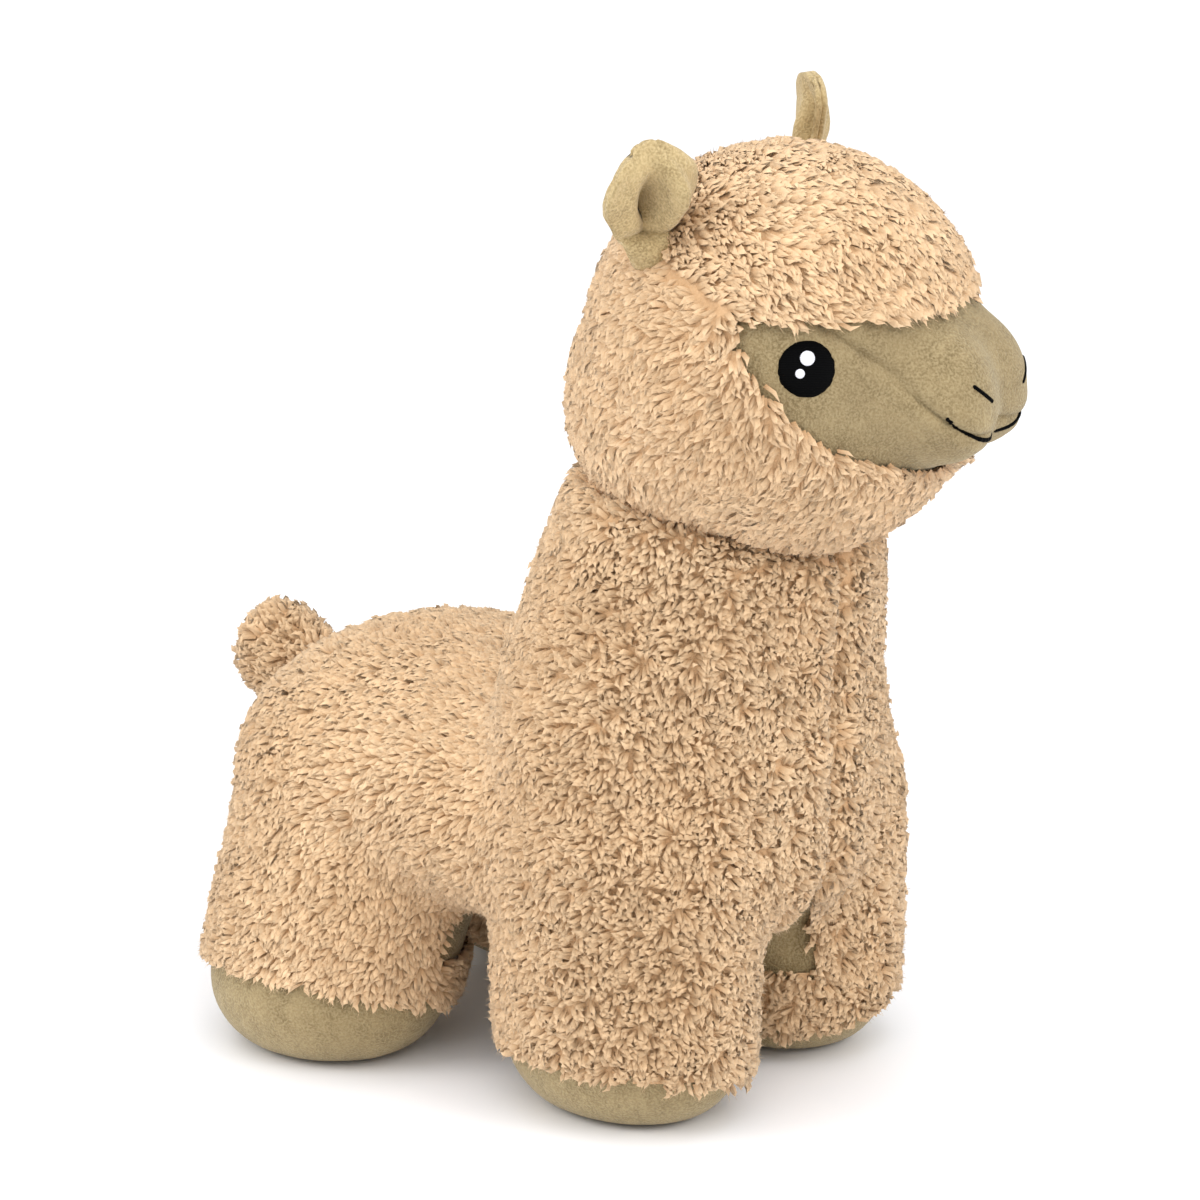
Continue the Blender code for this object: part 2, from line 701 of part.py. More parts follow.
# Tail: two halves of fleece round a little filling
for panel in sorted(tail.panels):
    trimmed(solid_object(panel, tail.panel(panel, FLEECE * 0.6), fleece, tail_root, toy), body_guide)
trimmed(solid_object("tail_filling", tail.closed(0.0), filling, tail_root, toy), body_guide)

# Ears: a back and a lining each, caught in the seam behind the crown
for side, hand in ((1.0, "left"), (-1.0, "right")):
    for layer, offset in (("back", VELOUR / 2.0 + GAP), ("lining", -VELOUR / 2.0 - GAP)):
        ear = solid_object(f"ear_{layer}_{hand}", ear_surface(offset), velour, head_turn, toy)
        ear.location = (side * EAR_X, EAR_Y, EAR_Z)
        ear.rotation_mode = "ZYX"
        ear.rotation_euler = (0.0, side * EAR_SPLAY, side * EAR_FACING)
        body_of_ear = ear.modifiers.new("pile", "SOLIDIFY")
        body_of_ear.thickness = EAR_CLOTH
        body_of_ear.offset = 0.0
        trimmed(ear, head_guide)

# Embroidery on the face
face_skin = [point + normal * (GAP + VELOUR) for point, normal in zip(head.points, head.normals)]
face_tree = BVHTree.FromPolygons(face_skin, head.faces)
for side, hand in ((1.0, "left"), (-1.0, "right")):
    level = math.cos(EYE_UP_ANGLE)
    aim = Vector((side * math.sin(EYE_ROUND_ANGLE) * level,
                  -math.cos(EYE_ROUND_ANGLE) * level, math.sin(EYE_UP_ANGLE)))
    centre = face_tree.ray_cast(aim * HEAD_RADIUS * 3.0, -aim)[0]
    eye = draped_disc(face_tree, centre, aim, EYE_RADIUS, 3, GAP, GAP + THREAD)
    solid_object(f"eye_{hand}", eye, black_thread, head_turn, toy)
    level_aside = Vector((-aim.y, aim.x, 0.0)).normalized() * side
    upwards = aim.cross(level_aside) * side
    top = GAP * 2 + THREAD
    for label, radius, aside, rise in (
            ("glint_large", GLINT_RADIUS, -0.06, 0.38),
            ("glint_small", SMALL_GLINT_RADIUS, 0.25, -0.12)):
        place = centre + (level_aside * aside + upwards * rise) * EYE_RADIUS
        glint = draped_disc(face_tree, place, aim, radius, 1, top, top + THREAD / 2.0)
        solid_object(f"{label}_{hand}", glint, white_thread, head_turn, toy)
    nostril = [Vector((side * x, y, z)) for x, y, z in (NOSTRIL_TOP, NOSTRIL_BEND, NOSTRIL_FOOT)]
    mouth = (Vector((side * MOUTH_CORNER_X, LIP_Y + 0.0036, MOUTH_Z + MOUTH_SMILE)),
             Vector((side * MOUTH_CORNER_X * 0.955, LIP_Y, MOUTH_Z - LIP_DROP)),
             Vector((side * LINE_WIDTH * 0.7, LIP_Y - 0.0025, MOUTH_Z)))
    for label, points in (("nostril", nostril), ("mouth", mouth)):
        line = draped_line(face_tree, points, GAP * 2, GAP * 2 + THREAD / 2.0)
        solid_object(f"{label}_{hand}", line, black_thread, head_turn, toy)

# The toy stands with the middle of its box over the origin
bpy.context.view_layer.update()
graph = bpy.context.evaluated_depsgraph_get()
corners = []
for obj in toy.objects:
    if obj.type != "EMPTY":
        shown = obj.evaluated_get(graph)
        mesh = shown.to_mesh()
        corners.extend(shown.matrix_world @ vertex.co for vertex in mesh.vertices)
        shown.to_mesh_clear()
low = Vector(min(corner[i] for corner in corners) for i in range(3))
high = Vector(max(corner[i] for corner in corners) for i in range(3))
stand.location = (-(low.x + high.x) / 2.0, -(low.y + high.y) / 2.0, -low.z)
bpy.context.view_layer.update()
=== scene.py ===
import math

import bpy
import numpy as np
from mathutils import Euler, Matrix, Vector, kdtree, noise
from mathutils.bvhtree import BVHTree


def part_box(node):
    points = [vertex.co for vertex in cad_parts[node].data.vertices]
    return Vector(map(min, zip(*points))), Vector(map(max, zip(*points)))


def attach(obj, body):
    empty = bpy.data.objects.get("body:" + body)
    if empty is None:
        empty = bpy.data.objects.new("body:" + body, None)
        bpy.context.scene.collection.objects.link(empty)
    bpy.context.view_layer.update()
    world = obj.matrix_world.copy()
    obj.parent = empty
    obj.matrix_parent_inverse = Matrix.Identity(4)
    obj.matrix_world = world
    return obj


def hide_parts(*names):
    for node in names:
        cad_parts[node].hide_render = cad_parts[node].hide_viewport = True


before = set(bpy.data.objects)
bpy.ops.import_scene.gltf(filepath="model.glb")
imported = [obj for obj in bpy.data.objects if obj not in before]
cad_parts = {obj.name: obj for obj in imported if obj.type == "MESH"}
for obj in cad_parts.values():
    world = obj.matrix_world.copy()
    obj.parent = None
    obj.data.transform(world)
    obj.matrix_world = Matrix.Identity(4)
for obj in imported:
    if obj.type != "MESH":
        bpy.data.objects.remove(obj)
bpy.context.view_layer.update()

# The place the toy is seen from: a little above it and well back, on its right side, so that
# the face, the chest, the whole right flank and the tail show.
VIEW_ROUND = math.radians(-52.0)
VIEW_UP = math.radians(16.2)
VIEW_DISTANCE = 1.2
VIEW_LENS = 127.08
VIEW_MIDDLE = Vector((0.0, -0.0027, 0.1315))

towards_viewer = Vector((math.sin(VIEW_ROUND) * math.cos(VIEW_UP),
                         -math.cos(VIEW_ROUND) * math.cos(VIEW_UP), math.sin(VIEW_UP)))
camera = bpy.data.objects.new("camera", bpy.data.cameras.new("camera"))
camera.data.lens = VIEW_LENS
camera.location = VIEW_MIDDLE + towards_viewer * VIEW_DISTANCE
camera.rotation_euler = towards_viewer.to_track_quat("Z", "Y").to_euler()
bpy.context.scene.collection.objects.link(camera)
bpy.context.scene.camera = camera

# Stuffing: loose white polyester fibre, blown into the body, the head and the tail until the
# sewn skin stands round and firm. Its surface is the form that every panel is laid on.
STUFFING_GRAIN = 0.0045
STUFFING_ROUNDS = 2
STUFFING_SHRINK = 0.0004


class Form:
    """The closed surface of a stuffed part: points, four-sided faces and outward normals.

    It is the solid's surface in faces of one grain, drawn smooth by rounds of averaging.
    """

    def __init__(self, node, grain, rounds):
        copy = bpy.data.objects.new("form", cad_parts[node].data.copy())
        bpy.context.scene.collection.objects.link(copy)
        weave = copy.modifiers.new("weave", "REMESH")
        weave.mode = "VOXEL"
        weave.voxel_size = grain
        graph = bpy.context.evaluated_depsgraph_get()
        mesh = bpy.data.meshes.new_from_object(copy.evaluated_get(graph))
        bpy.data.objects.remove(copy)
        self.points = np.empty(len(mesh.vertices) * 3)
        mesh.vertices.foreach_get("co", self.points)
        self.points = self.points.reshape(-1, 3)
        corners = np.empty(len(mesh.loops), dtype=np.int64)
        mesh.loops.foreach_get("vertex_index", corners)
        self.faces = corners.reshape(-1, 4)
        bpy.data.meshes.remove(mesh)
        ends = np.concatenate([self.faces[:, [i, (i + 1) % 4]] for i in range(4)])
        count = len(self.points)
        valence = np.bincount(ends[:, 0], minlength=count)[:, None]
        for _ in range(rounds):
            around = [np.bincount(ends[:, 0], weights=self.points[ends[:, 1], i], minlength=count)
                      for i in range(3)]
            self.points = (self.points + np.stack(around, 1) / valence) / 2
        self.find_normals()

    def find_normals(self):
        corners = self.points[self.faces]
        across = np.cross(corners[:, 2] - corners[:, 0], corners[:, 3] - corners[:, 1])
        self.normals = np.zeros_like(self.points)
        for i in range(4):
            for axis in range(3):
                self.normals[:, axis] += np.bincount(
                    self.faces[:, i], weights=across[:, axis], minlength=len(self.points))
        self.normals = unit(self.normals)

    def lifted(self, distance):
        return self.points + self.normals * distance

    def panel(self, chosen, points):
        """Mesh of the chosen faces over the given points."""
        used, corners = np.unique(self.faces[chosen], return_inverse=True)
        mesh = bpy.data.meshes.new("panel")
        mesh.from_pydata(points[used].tolist(), [], corners.reshape(-1, 4).tolist())
        return mesh


def unit(vectors):
    lengths = np.linalg.norm(vectors, axis=-1, keepdims=True)
    return vectors / np.maximum(lengths, 1e-9)


class Thread:
    """An output of a finish's node, which numbers and other outputs are reckoned with."""

    def __init__(self, finish, socket):
        self.finish = finish
        self.socket = socket

    def __add__(self, other):
        return self.finish.reckon("ADD", self, other)

    __radd__ = __add__

    def __sub__(self, other):
        return self.finish.reckon("SUBTRACT", self, other)

    def __rsub__(self, other):
        return self.finish.reckon("SUBTRACT", other, self)

    def __mul__(self, other):
        return self.finish.reckon("MULTIPLY", self, other)

    __rmul__ = __mul__


class Finish:
    """A material: one cloth shader with plain settings, and the nodes that vary it."""

    def __init__(self, name, settings):
        self.material = bpy.data.materials.new(name)
        self.material.use_nodes = True
        self.tree = self.material.node_tree
        self.shader = self.tree.nodes["Principled BSDF"]
        for label, value in settings.items():
            self.shader.inputs[label].default_value = value

    def feed(self, socket, value):
        if isinstance(value, Thread):
            self.tree.links.new(value.socket, socket)
        else:
            socket.default_value = value

    def node(self, kind, settings, values, output=0):
        made = self.tree.nodes.new(kind)
        for label, value in settings.items():
            setattr(made, label, value)
        for label, value in values.items():
            self.feed(made.inputs[label], value)
        return Thread(self, made.outputs[output])

    def reckon(self, operation, *values):
        return self.node("ShaderNodeMath", {"operation": operation}, dict(enumerate(values)))

    def mixed(self, share, first, second, blend="MIX"):
        return self.node("ShaderNodeMix", {"data_type": "RGBA", "blend_type": blend},
                         {0: share, 6: first, 7: second}, 2)

    def mottle(self, scale, detail, stretch=None):
        """Soft random spots, so many to the metre; a stretch draws them out along an axis."""
        place = self.node("ShaderNodeTexCoord", {}, {}, "Object")
        if stretch:
            place = self.node("ShaderNodeMapping", {}, {"Vector": place, "Scale": stretch})
        return self.node("ShaderNodeTexNoise", {},
                         {"Vector": place, "Scale": scale, "Detail": detail})

    def spread(self, value, low, high):
        """Stretches the values between low and high to 0 and 1."""
        return self.node("ShaderNodeMapRange", {},
                         {"Value": value, "From Min": low, "From Max": high})

    def give(self, label, value):
        self.feed(self.shader.inputs[label], value)

    def ruffle(self, height, strength, distance):
        """Fine relief on the surface, as deep as the distance in metres."""
        self.give("Normal", self.node("ShaderNodeBump", {}, {
            "Strength": strength, "Distance": distance, "Height": height}))


def dye(red, green, blue):
    """A colour as the eye sees it, 0 to 255, for a shader."""
    def light(level):
        level /= 255
        return level / 12.92 if level < 0.04045 else ((level + 0.055) / 1.055) ** 2.4
    return light(red), light(green), light(blue), 1.0


def sewn_on(name, mesh, finish, nodes):
    """Puts a mesh on the toy as the visible piece that stands for these solids."""
    made = bpy.data.objects.new(name, mesh)
    bpy.context.scene.collection.objects.link(made)
    mesh.materials.append(finish.material)
    mesh.shade_smooth()
    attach(made, "root")
    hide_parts(*nodes)
    return made


fibre = Finish("polyester_fibre", {"Roughness": 0.9, "Sheen Weight": 0.2})
wisps = fibre.mottle(900.0, 4.0, (1.0, 0.25, 1.0))
fibre.give("Base Color", fibre.mixed(wisps, dye(228, 228, 225), dye(250, 250, 248)))
fibre.give("Roughness", 0.8 + 0.15 * wisps)
fibre.ruffle(wisps, 0.6, 0.0006)

for part in ("body", "head", "tail"):
    core = Form(f"{part}_filling", STUFFING_GRAIN, STUFFING_ROUNDS)
    everywhere = np.ones(len(core.faces), dtype=bool)
    core_mesh = core.panel(everywhere, core.lifted(-STUFFING_SHRINK))
    stuffing = sewn_on(f"{part}_stuffing", core_mesh, fibre,
                       [f"{part}_filling"])

# Fleece of the body: two side panels from the neck down over the outer legs, sewn together
# along the chest and the back, and four inner-leg panels. It is a knitted backing with long
# pile that has curled into small tufts.
PANEL_GRAIN = 0.0022
PANEL_ROUNDS = 12
BACKING_LIFT = 0.0034
CHEST_SEAM_WIDTH = 0.0036
CHEST_SEAM_DEPTH = 0.0034
CHEST_SEAM_SWELL = 0.0010
CHEST_SEAM_FRONT = -0.030
CHEST_SEAM_BOTTOM = 0.030
BACK_SEAM_DEPTH = 0.0008
BACK_SEAM_START = -0.03
BACK_SEAM_BOTTOM = 0.08
SEAM_FADE = 0.02
SWELL_MIDDLE = 0.009
SWELL_WIDTH = 0.005
FLANK_MIDDLE = 0.012
CUT_LIFT = 0.0003
HEM_START = 0.0009
HEM_TURN = 0.0035
HEM_REACH = 0.006

CURL_SPACING = 0.00147
CURL_ROUNDS = 30
CURL_STRAY = CURL_SPACING * 0.33
CURL_WIDTH = 0.00092
CURL_WIDTH_RANGE = (0.8, 1.2)
CURL_LENGTH = 0.0054
CURL_LENGTH_RANGE = (0.75, 1.2)
CURL_STATIONS = (0.0, 0.70, 1.0)
CURL_GIRTHS = (0.90, 0.92)
CURL_SIDES = 3
CURL_DROOP = 0.30
CURL_BEND = 1.35
CURL_WAVE = 0.16
CURL_WAVE_TURN = 5.5
RISE_WANDER = 0.16
OWN_LEAN = 0.25
ROOT_DEPTH = 0.0006
SOFTNESS = 0.58
CLUMP_SIZE = 8.0
CLUMP_REACH = 0.0024
CLUMP_RISE = 0.0015
CLUMP_RISE_RANGE = (0.5, 1.3)
CLUMP_SPREAD = 0.9
CLUMP_PULL_RANGE = (0.40, 0.80)
CLUMP_LOOSENING = 0.8
CLUMP_TONE = 0.5
CLUMP_TONE_REACH = 0.6
# Painted shade: how much darker the curls are dyed where their clumps dome up, for the shade in
# the pits between the domes.
DOME_SHADE = 1.2
DOME_PLAIN = 0.25
HAIR_WIDTH = 0.00014
HAIR_LENGTH = 0.0018
HAIR_LENGTH_RANGE = (0.4, 1.2)
HAIR_RISE = 0.5
HAIR_STRAY = 0.8
PILE_SEED = 7

HANG = (0.0, 0.55, -1.0)
BODY_DRIFT = 0.028
BODY_DRIFT_SHARE = 1.1
PARTING = 2.5
GUSSET_DROP = 0.4
BODY_CLEARANCE = 0.001
BODY_RISE = (0.68, 0.16, 0.06)
BODY_SWIRL = (0.28, 0.34, 0.16)
BODY_DOME = (DOME_PLAIN, 0.30, 0.20)
BACK_LENGTHENING = 0.0006
CHEST_SHORTENING = 0.0004
SEAM_SHORTENING = 0.25
CHEST_START = -0.012
CHEST_REACH = 0.035
RUMP_START = 0.045
BACK_START = 0.085
SHARE_REACH = 0.03

rng = np.random.default_rng(PILE_SEED)
noise.seed_set(PILE_SEED)


class Cloth:
    """Which panel lies nearest to a point, and how far inside the fleece's edge the point is."""

    def __init__(self, fleece, velour):
        self.names = fleece + velour
        self.trees = []
        self.owners = []
        for group in (fleece, velour):
            points = []
            faces = []
            owners = []
            for name in group:
                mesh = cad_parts[name].data
                start = len(points)
                points.extend(vertex.co for vertex in mesh.vertices)
                for polygon in mesh.polygons:
                    faces.append([start + i for i in polygon.vertices])
                    owners.append(self.names.index(name))
            self.trees.append(BVHTree.FromPolygons(points, faces))
            self.owners.append(owners)

    def look(self, points):
        """The nearest fleece and velour panel of each point, and its margin of fleece."""
        owners = np.empty((len(points), 2), dtype=np.int64)
        gaps = np.empty((len(points), 2))
        for group in (0, 1):
            for i, point in enumerate(points):
                found = self.trees[group].find_nearest(point)
                owners[i, group] = self.owners[group][found[2]]
                gaps[i, group] = found[3]
        return owners, gaps[:, 1] - gaps[:, 0]


def flat_to(vectors, normals):
    """The part of each vector that lies along the cloth."""
    return vectors - normals * np.sum(vectors * normals, axis=1, keepdims=True)


def drift(points, size, seed):
    """A slow, smooth wander of direction over the cloth."""
    shift = Vector((seed * 3.1, seed * 1.7, seed * 2.3))
    return np.array([noise.noise_vector(Vector(point) / size + shift) for point in points])


def curled_pile(roots, normals, flow, length, rise, swirl, dome):
    """Mesh of curled tufts: short bent locks in clumps, each lock with one stray hair.

    Rise is how steeply a lock stands up, swirl how far its clump turns it from the flow, and
    dome how far the clump swells into a small round cushion.
    """
    count = len(roots)
    picks = rng.permutation(count)[:max(int(count / CLUMP_SIZE), 1)]
    tree = kdtree.KDTree(len(picks))
    for i, pick in enumerate(picks):
        tree.insert(roots[pick], i)
    tree.balance()
    clump = np.array([tree.find(root)[1] for root in roots])
    lean = unit(rng.normal(size=(len(picks), 3)))[clump]
    own = unit(rng.normal(size=(count, 3)))
    swirl = swirl[:, None]
    spread = flat_to(roots - roots[picks][clump], normals) / CLUMP_REACH
    away = np.minimum(np.sum(spread * spread, axis=1), 1.0)
    plump = dome * rng.uniform(*CLUMP_RISE_RANGE, len(picks))[clump]
    roots = roots + normals * (plump * CLUMP_RISE * (1 - away))[:, None]
    along = flow * (1 - swirl) + lean * swirl + own * OWN_LEAN
    along = unit(flat_to(along + spread * (dome * CLUMP_SPREAD)[:, None], normals))
    aside = np.cross(normals, along)
    length = length * rng.uniform(*CURL_LENGTH_RANGE, count)
    rise = rise + rng.normal(0.0, RISE_WANDER, count)
    share = np.array(CURL_STATIONS)[None, :, None]
    phase = rng.uniform(0, math.tau, count)[:, None, None]
    size = length[:, None, None]
    up = np.sin(rise)[:, None, None] * (share - CURL_DROOP * share ** 3)
    out = np.cos(rise)[:, None, None] * share ** CURL_BEND
    wave = CURL_WAVE * share * np.sin(share * CURL_WAVE_TURN + phase)
    path = (roots - normals * ROOT_DEPTH)[:, None] + size * (
        normals[:, None] * up + along[:, None] * out + aside[:, None] * wave)
    members = np.bincount(clump, minlength=len(picks))[:, None]
    middle = np.stack([np.bincount(clump, weights=path[:, -1, i], minlength=len(picks))
                       for i in range(3)], 1) / members
    pull = rng.uniform(*CLUMP_PULL_RANGE, count) * (1 - CLUMP_LOOSENING * dome)
    path = path + pull[:, None, None] * share ** 2 * (middle[clump] - path[:, -1])[:, None]
    heading = unit(np.gradient(path, axis=1))[:, :-1]
    across = unit(np.cross(heading, normals[:, None]) + 1e-4)
    over = np.cross(across, heading)
    turn = rng.uniform(0, math.tau, count)[:, None]
    turn = turn + np.arange(CURL_SIDES)[None] * math.tau / CURL_SIDES
    thick = (CURL_WIDTH * rng.uniform(*CURL_WIDTH_RANGE, count))[:, None] * CURL_GIRTHS
    rings = path[:, :-1, None] + thick[:, :, None, None] * (
        across[:, :, None] * np.cos(turn)[:, None, :, None]
        + over[:, :, None] * np.sin(turn)[:, None, :, None])
    stray = unit(heading[:, -1] + normals * HAIR_RISE + own * HAIR_STRAY) * HAIR_LENGTH
    stray = path[:, -1] + stray * rng.uniform(*HAIR_LENGTH_RANGE, count)[:, None]
    hair = np.stack([path[:, -1] + across[:, -1] * HAIR_WIDTH, stray], axis=1)
    points = np.concatenate([rings.reshape(count, -1, 3), path[:, -1:], hair], axis=1)
    tip = len(CURL_GIRTHS) * CURL_SIDES
    corners = tip + 3                       # the rings, the tip and two corners of the hair
    last = tip - CURL_SIDES
    ring = [(i, (i + 1) % CURL_SIDES) for i in range(CURL_SIDES)]
    quads = [(low + b, low + a, low + CURL_SIDES + a, low + CURL_SIDES + b)
             for low in range(0, last, CURL_SIDES) for a, b in ring]
    tips = [(last + b, last + a, tip) for a, b in ring] + [(tip, tip + 1, tip + 2)]
    pattern = np.array([i for face in quads + tips for i in face])
    loops = (np.arange(count)[:, None] * corners + pattern[None]).ravel()
    sides = np.tile([4] * len(quads) + [3] * len(tips), count)
    mesh = bpy.data.meshes.new("pile")
    mesh.vertices.add(count * corners)
    mesh.vertices.foreach_set("co", points.ravel())
    mesh.loops.add(len(loops))
    mesh.loops.foreach_set("vertex_index", loops.astype(np.int32))
    mesh.polygons.add(len(sides))
    starts = np.concatenate([[0], np.cumsum(sides)[:-1]])
    mesh.polygons.foreach_set("loop_start", starts.astype(np.int32))
    mesh.update(calc_edges=True)
    height = np.append(np.repeat(CURL_STATIONS[:-1], CURL_SIDES), np.ones(corners - tip))
    # Third value of the tone: a random tone for each clump, less painted shade where the clumps
    # dome up more than DOME_PLAIN (chest, rump, tail) and with a little painted light where they
    # lie flatter (head).
    clump_tone_and_shade = CLUMP_TONE + CLUMP_TONE_REACH * rng.uniform(size=len(picks))[clump]
    clump_tone_and_shade = clump_tone_and_shade - DOME_SHADE * (dome - DOME_PLAIN)
    tone = np.stack([np.tile(height, count), np.repeat(rng.uniform(size=count), corners),
                     np.repeat(clump_tone_and_shade, corners)], axis=1)
    pile_tone = mesh.attributes.new("pile", "FLOAT_VECTOR", "POINT")
    pile_tone.data.foreach_set("vector", tone.ravel())
    fuzz = np.concatenate([unit(rings - path[:, :-1, None]).reshape(count, -1, 3),
                           heading[:, -1:], np.repeat(normals[:, None], 2, axis=1)], axis=1)
    fuzz = unit(fuzz * (1 - SOFTNESS) + normals[:, None] * SOFTNESS).reshape(-1, 3)
    mesh.shade_smooth()
    mesh.normals_split_custom_set_from_vertices(fuzz.tolist())
    return mesh


curls = Finish("curly_pile", {"Roughness": 0.9, "Sheen Weight": 0.25, "Sheen Roughness": 0.5,
                              "Sheen Tint": (1.0, 0.93, 0.82, 1.0),
                              "Specular IOR Level": 0.25})
tuft = curls.node("ShaderNodeAttribute", {"attribute_name": "pile"}, {}, "Vector")
height, lock, clump_tone_and_shade = (curls.node("ShaderNodeSeparateXYZ", {}, {0: tuft}, i) for i in range(3))
strands = curls.mottle(2600.0, 2.0)
patches = curls.mottle(26.0, 3.0)
# Painted shade: each lock is dyed darker and browner at its root, deep in the pile, and lighter
# towards its tip, with random streaks of strand and lock.
root_shade_and_streaks = curls.spread(height + 0.30 * strands + 0.25 * lock, 0.2, 1.15)
shade = curls.mixed(root_shade_and_streaks, dye(200, 156, 111), dye(233, 200, 160))
shade = curls.mixed(0.35 * curls.spread(patches, 0.35, 0.7), shade, dye(205, 164, 119))
# Each lock is darkened at random, and by the painted shade of the domed clumps.
shade = curls.mixed(1.0, shade, 0.76 + 0.14 * lock + 0.18 * clump_tone_and_shade, "MULTIPLY")
curls.give("Base Color", shade)
curls.give("Roughness", 0.82 + 0.14 * strands)
curls.ruffle(strands, 0.55, 0.0005)

backing = Finish("knitted_backing", {"Roughness": 0.95, "Sheen Weight": 0.1})
knit = backing.mottle(1500.0, 3.0)
backing.give("Base Color", backing.mixed(knit, dye(198, 156, 112), dye(226, 188, 145)))
backing.give("Roughness", 0.85 + 0.12 * knit)
backing.ruffle(knit, 0.7, 0.0006)

body = Form("body_filling", CURL_SPACING, CURL_ROUNDS)
body_sheet = Form("body_filling", PANEL_GRAIN, PANEL_ROUNDS)
head = Form("head_filling", CURL_SPACING, CURL_ROUNDS)
head_tree = BVHTree.FromPolygons(head.points.tolist(), head.faces.tolist())
legs = [f"{end}_{hand}" for end in ("front", "rear") for hand in ("left", "right")]
body_cloth = Cloth([f"body_side_{hand}" for hand in ("left", "right")]
                   + [f"inner_leg_{leg}" for leg in legs],
                   ["belly_gusset"] + [f"sole_{leg}" for leg in legs])
body_owner, body_margin = body_cloth.look(body.lifted(CUT_LIFT))
sheet_owner, sheet_margin = body_cloth.look(body_sheet.lifted(CUT_LIFT))
gusset = body_cloth.names.index("belly_gusset")
for owner, margin in ((body_owner, body_margin), (sheet_owner, sheet_margin)):
    margin -= HEM_TURN * (owner[:, 1] > gusset)     # the fleece is turned up above the soles


def clear_of(tree, points, clearance):
    """True for points that stand at least this far outside a stuffed part."""
    found = (tree.find_nearest(point) for point in points)
    return np.array([(Vector(point) - place).dot(normal) > clearance
                     for point, (place, normal, _, _) in zip(points, found)])


def sink_body_seams(form):
    """Draws in the seams along the chest and the back, and says how near the chest's each is."""
    x, y, z = form.points.T
    front = np.clip((CHEST_SEAM_FRONT - y) / SEAM_FADE, 0, 1)
    front = front * np.clip((z - CHEST_SEAM_BOTTOM) / SEAM_FADE, 0, 1)
    ridge = np.clip((y - BACK_SEAM_START) / (2 * SEAM_FADE), 0, 1)
    ridge = ridge * np.clip((z - BACK_SEAM_BOTTOM) / SEAM_FADE, 0, 1)
    valley = np.exp(-(x / CHEST_SEAM_WIDTH) ** 2)
    swell = np.exp(-((np.abs(x) - SWELL_MIDDLE) / SWELL_WIDTH) ** 2)
    depth = valley * (front * CHEST_SEAM_DEPTH + ridge * BACK_SEAM_DEPTH)
    depth = depth - swell * front * CHEST_SEAM_SWELL
    form.points -= form.normals * depth[:, None]
    form.find_normals()
    return valley * front


chest_seam = sink_body_seams(body)
sink_body_seams(body_sheet)
roots = body.lifted(BACKING_LIFT)
body_skin = body_sheet.lifted(BACKING_LIFT)
planted = (body_margin > HEM_START) & clear_of(head_tree, roots, BODY_CLEARANCE)
x, y, z = roots.T
chest_share = np.clip((CHEST_START - y) / CHEST_REACH, 0, 1)
rump_share = np.clip((y - RUMP_START) / SHARE_REACH, 0, 1)
back_share = np.clip((z - BACK_START) / SHARE_REACH, 0, 1) * (1 - chest_share)
gusset_share = np.clip(1 - body_margin / HEM_REACH, 0, 1) * (body_owner[:, 1] == gusset)
apart = np.stack([np.sign(x), 0 * x, 0 * x], 1)
together = np.stack([-np.sign(x), 0 * x, 0 * x - GUSSET_DROP], 1)
hang = np.array(HANG)[None] + drift(roots, BODY_DRIFT, 1.0) * BODY_DRIFT_SHARE
hang = hang + apart * (chest_seam * PARTING)[:, None]
hang = hang + together * (gusset_share * PARTING)[:, None]
hang = unit(flat_to(hang, body.normals))
body_length = CURL_LENGTH + BACK_LENGTHENING * back_share - CHEST_SHORTENING * chest_share
body_length = body_length * (1 - SEAM_SHORTENING * chest_seam)
body_rise, body_swirl, body_dome = (
    plain + on_chest * chest_share + on_rump * rump_share
    for plain, on_chest, on_rump in (BODY_RISE, BODY_SWIRL, BODY_DOME))
jitter = flat_to(rng.normal(0, CURL_STRAY, roots.shape), body.normals)

panels = []
for hand in ("left", "right"):
    panels.append((f"fleece_front_{hand}", False, f"body_side_{hand}"))
    panels.append((f"fleece_rear_{hand}", True, f"body_side_{hand}"))
for leg in legs:
    panels.append((f"fleece_inner_{leg}", leg.startswith("rear"), f"inner_leg_{leg}"))
corner = body_sheet.faces[:, 0]
for name, rear, node in panels:
    owner = body_cloth.names.index(node)
    chosen = (sheet_margin[body_sheet.faces] > HEM_START / 2).all(axis=1)
    chosen &= sheet_owner[corner, 0] == owner
    chosen &= (body_sheet.points[corner, 1] > FLANK_MIDDLE) == rear
    sewn_on(f"{name}_backing", body_sheet.panel(chosen, body_skin), backing,
            [node])
    mine = planted & (body_owner[:, 0] == owner) & ((body.points[:, 1] > FLANK_MIDDLE) == rear)
    pile = curled_pile((roots + jitter)[mine], body.normals[mine], hang[mine],
                       body_length[mine], body_rise[mine], body_swirl[mine], body_dome[mine])
    sewn_on(name, pile, curls, [node])

# Belly gusset and soles: smooth short-pile velour. The gusset closes the belly between the
# legs, and a sole closes the bottom of each leg, flat where it stands.
VELOUR_LIFT = 0.0023
VELOUR_TUCK = 0.0030


